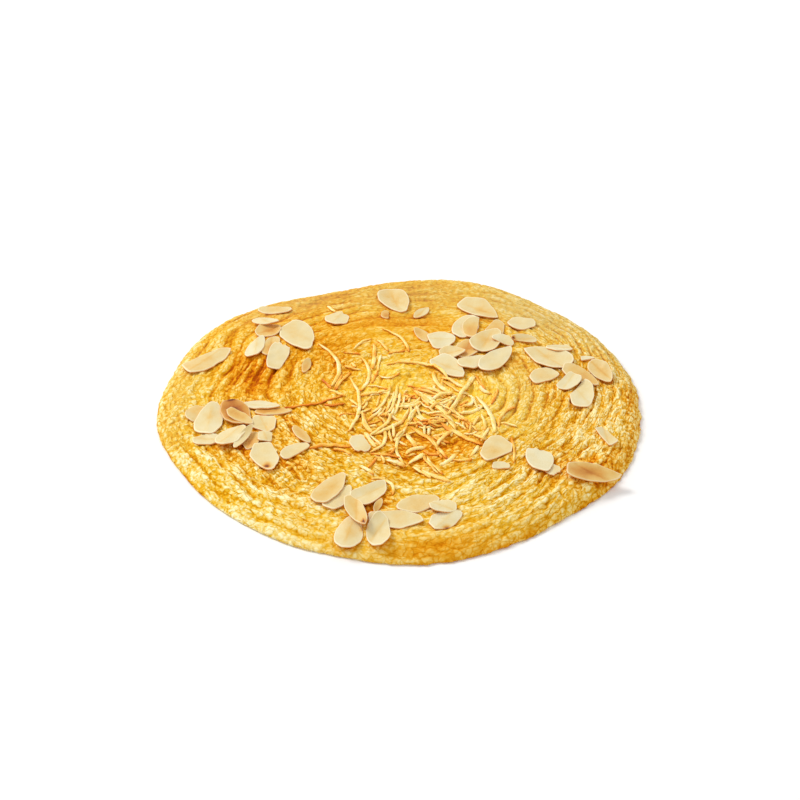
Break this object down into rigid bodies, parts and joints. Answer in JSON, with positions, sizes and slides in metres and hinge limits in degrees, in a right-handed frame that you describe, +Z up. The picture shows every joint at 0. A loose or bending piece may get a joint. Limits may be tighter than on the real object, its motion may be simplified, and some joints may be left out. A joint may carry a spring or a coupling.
{
  "type": "almond cheese cookie",
  "caption": "Thin round cookie of coiled flaky pastry, about 21 cm across, baked with flaked almonds near its rim and shredded cheese over its middle.",
  "frame": {"origin": "middle of the flat underside", "axes": "+Z up through the thickness, +X to the right and +Y to the back as seen in the picture"},
  "size_m": [0.2109, 0.2087, 0.0117],
  "materials": {
    "crust": "baked pastry, golden yellow, slightly glossy on its blisters"
  },
  "bodies": {
    "root": {"cookie": "crust"}
  },
  "joints": []
}
